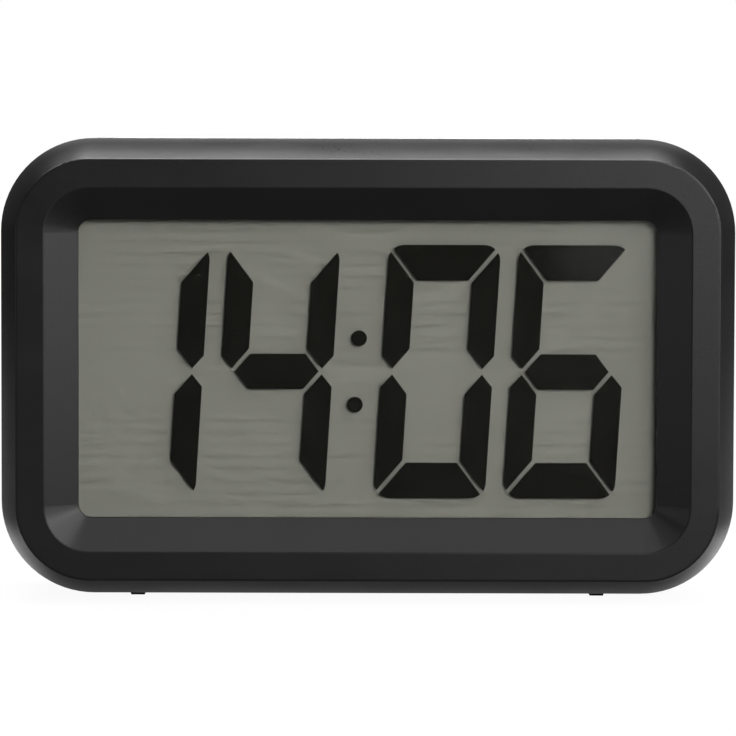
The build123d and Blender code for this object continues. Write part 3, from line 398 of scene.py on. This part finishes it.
def raised_arrow(name, way, x, z):
    """A triangle that points up or down, with a bevel round its raised face."""
    mesh = bpy.data.meshes.new(name)
    arrow = bmesh.new()
    foot = -way * ARROW_HALF
    corners = [(-ARROW_HALF, foot), (ARROW_HALF, foot), (0.0, -foot)]
    outline = [arrow.verts.new((across, up, -MARK_PROUD)) for across, up in corners]
    face = arrow.faces.new(outline if way > 0 else outline[::-1])
    top = bmesh.ops.extrude_face_region(arrow, geom=[face])["geom"]
    raised = [item for item in top if isinstance(item, bmesh.types.BMVert)]
    bmesh.ops.translate(arrow, verts=raised, vec=(0.0, 0.0, 2 * MARK_PROUD))
    edges = [edge for edge in arrow.edges if all(vert.co.z > 0 for vert in edge.verts)]
    bmesh.ops.bevel(arrow, geom=edges, offset=MARK_PROUD / 2, segments=2, profile=0.6, affect="EDGES")
    bmesh.ops.recalc_face_normals(arrow, faces=arrow.faces)
    arrow.to_mesh(mesh)
    arrow.free()
    mark(name, mesh, x, z)


def middle_of(node):
    low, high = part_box(node)
    return (low + high) / 2


for node, word in (("mode_button", "MODE"), ("set_button", "SET")):
    place = middle_of(node)
    raised_word(word, place.x, place.z + MARK_RISE)
for node, way in (("up_button", 1), ("down_button", -1)):
    place = middle_of(node)
    raised_arrow(f"{node}_arrow", way, place.x, place.z + MARK_RISE)
place = middle_of("alarm_switch")
raised_word("ALARM", place.x, place.z + MARK_RISE)
raised_word("OFF", place.x - SWITCH_WORD_STEP, place.z)
raised_word("ON", place.x + SWITCH_WORD_STEP, place.z)


# Stage: a floor and a room that are white to the camera. Light reflected by the clock comes from a dark
# table and a dim room, with a white card on the table behind the clock. Lengths are in metres

FLOOR_HALF = 40.0
TABLE_GREY = (0.08, 0.08, 0.08)
PAPER_DARK = (0.9, 0.9, 0.9)
PAPER_LIGHT = (0.94, 0.94, 0.94)

# The card is white behind CARD_BACK and within CARD_HALF of the middle. It fades out towards CARD_FRONT and
# CARD_FADE
CARD_FRONT = -0.03
CARD_BACK = 0.03
CARD_HALF = 0.06
CARD_FADE = 0.11
CARD_MIRRORED = 0.4

# The share of its shadow that the floor shows near the clock. It fades out from SHADOW_NEAR to SHADOW_FAR
SHADOW_SHARE = 0.06
SHADOW_NEAR = 0.06
SHADOW_FAR = 0.25

# The room's backdrop, by the direction in which it lies: across and up, each with where it has faded out
ROOM_LEVEL = 0.06
BACKDROP_HALF = 0.12
BACKDROP_FADE = 0.25
BACKDROP_TOP = 0.2
BACKDROP_TOP_FADE = 0.45


def make_floor():
    """The table with its card. Near the clock, the camera sees a share of the shadow on it."""
    mesh = bpy.data.meshes.new("floor")
    turns = ((-1, -1), (1, -1), (1, 1), (-1, 1))
    mesh.from_pydata([(x * FLOOR_HALF, y * FLOOR_HALF, 0) for x, y in turns], [], [(0, 1, 2, 3)])
    floor = bpy.data.objects.new("floor", mesh)
    bpy.context.scene.collection.objects.link(floor)
    m = new_material("floor_white")
    behind = m.spread(m.axis("Y"), CARD_FRONT, CARD_BACK, 0.0, 1.0, smooth=True)
    across = m.math("ABSOLUTE", m.axis("X"))
    card = m.math("MULTIPLY", behind, m.spread(across, CARD_HALF, CARD_FADE, 1.0, 0.0, smooth=True))
    paper = m.noise(scale=60.0, detail=3.0, roughness=0.5)
    lit = m.math("MAXIMUM", card, m.ray("Is Camera Ray"))
    shade = m.blend(lit, TABLE_GREY, m.blend(paper, PAPER_DARK, PAPER_LIGHT))
    away = m.add("ShaderNodeVectorMath", operation="LENGTH")
    m.join(m.place, away.inputs[0])
    white = m.spread(away.outputs["Value"], SHADOW_NEAR, SHADOW_FAR, 1.0 - SHADOW_SHARE, 1.0, smooth=True)
    seen = m.ray("Is Camera Ray", "Is Transmission Ray")
    mirrored = m.math("MULTIPLY", m.ray("Is Glossy Ray"), m.math("MULTIPLY", card, CARD_MIRRORED))
    share = m.math("MULTIPLY", m.math("MAXIMUM", seen, mirrored), white)
    mesh.materials.append(m.finish(m.layer(share, m.surface(shade, 0.9), m.glow())))


def make_world():
    """The room, which is dim to the clock apart from a white backdrop low down behind it."""
    world = bpy.data.worlds.new("studio")
    bpy.context.scene.world = world
    w = Shading(world, "Generated", "ShaderNodeOutputWorld")
    behind = w.math("GREATER_THAN", w.axis("Y"), 0.0)
    across = w.math("ABSOLUTE", w.axis("X"))
    narrow = w.spread(across, BACKDROP_HALF, BACKDROP_FADE, 1.0, 0.0, smooth=True)
    low = w.spread(w.axis("Z"), BACKDROP_TOP, BACKDROP_TOP_FADE, 1.0, 0.0, smooth=True)
    card = w.math("MULTIPLY", behind, w.math("MULTIPLY", narrow, low))
    soft = w.glow(w.spread(card, 0.0, 1.0, ROOM_LEVEL, 1.0), "ShaderNodeBackground")
    white = w.glow(1.0, "ShaderNodeBackground")
    w.finish(w.layer(w.ray("Is Camera Ray", "Is Transmission Ray"), soft, white))


# Soft lamps, which all face the middle of the clock: place and size in metres, power in watts
lamps = {
    "key": {"place": (0.26, -0.6, 0.2), "size": (0.45, 0.35), "power": 1.6},
    "fill": {"place": (0.2, -0.95, 0.25), "size": (0.2, 0.2), "power": 9.3},
    "right_shoulder": {"place": (0.5, -0.15, 0.45), "size": (0.65, 0.65), "power": 4.2},
    "left_shoulder": {"place": (-0.36, -0.15, 0.56), "size": (0.5, 0.5), "power": 0.4},
    "right_flank": {"place": (0.6, -0.13, 0.08), "size": (0.4, 0.4), "power": 1.2},
    "left_flank": {"place": (-0.6, -0.13, 0.1), "size": (0.3, 0.3), "power": 0.2},
    "top_front": {"place": (0.0, -0.15, 0.8), "size": (0.5, 0.4), "power": 1.0},
    "top_back": {"place": (0.05, 0.35, 0.8), "size": (0.6, 0.4), "power": 6.0},
    "rim": {"place": (0.0, 0.7, 0.2), "size": (0.2, 0.1), "power": 0.35},
    "back_left": {"place": (-0.3, 0.2, 0.65), "size": (0.3, 0.3), "power": 2.0},
}


def area_light(name, place, size, power):
    data = bpy.data.lights.new(name, "AREA")
    data.shape = "RECTANGLE"
    data.size, data.size_y = size
    data.energy = power
    light = bpy.data.objects.new(name, data)
    light.location = place
    light.rotation_euler = (Vector(centre) - Vector(place)).to_track_quat("-Z", "Y").to_euler()
    bpy.context.scene.collection.objects.link(light)
    return light


make_floor()
make_world()
lights = {name: area_light(name, **values) for name, values in lamps.items()}
# The fill lights the display evenly and adds no highlight to the case, and the rim lamp stays out of view
lights["fill"].visible_glossy = False
lights["rim"].visible_camera = False


# Camera: at the front, a little above, and far enough for the flat look of the photograph


def make_camera():
    half_view = IMAGE_SIDE / 2 / PIXELS_PER_MM * MM
    raise_by = (FACE_CENTRE_PIXEL[1] - IMAGE_SIDE / 2) / PIXELS_PER_MM * MM
    slide_by = (IMAGE_SIDE / 2 - FACE_CENTRE_PIXEL[0]) / PIXELS_PER_MM * MM
    lean = radians(VIEW_ELEVATION)
    aim = Vector((slide_by, face_depth, centre[2] + raise_by))
    data = bpy.data.cameras.new("camera")
    data.sensor_width = SENSOR_WIDTH
    data.lens = SENSOR_WIDTH / 2 * VIEW_DISTANCE / half_view
    data.clip_start = 0.01
    data.clip_end = 50.0
    camera = bpy.data.objects.new("camera", data)
    camera.location = aim + VIEW_DISTANCE * Vector((0.0, -cos(lean), sin(lean)))
    camera.rotation_euler = (radians(90.0) - lean, 0.0, 0.0)
    camera.rotation_euler.rotate_axis("Z", radians(VIEW_ROLL))
    bpy.context.scene.collection.objects.link(camera)
    bpy.context.scene.camera = camera


make_camera()
# Light passes both faces of every clear sheet of the display, on its way in and on its way out
bpy.context.scene.cycles.transparent_max_bounces = 32
bpy.context.scene.view_settings.view_transform = "Standard"
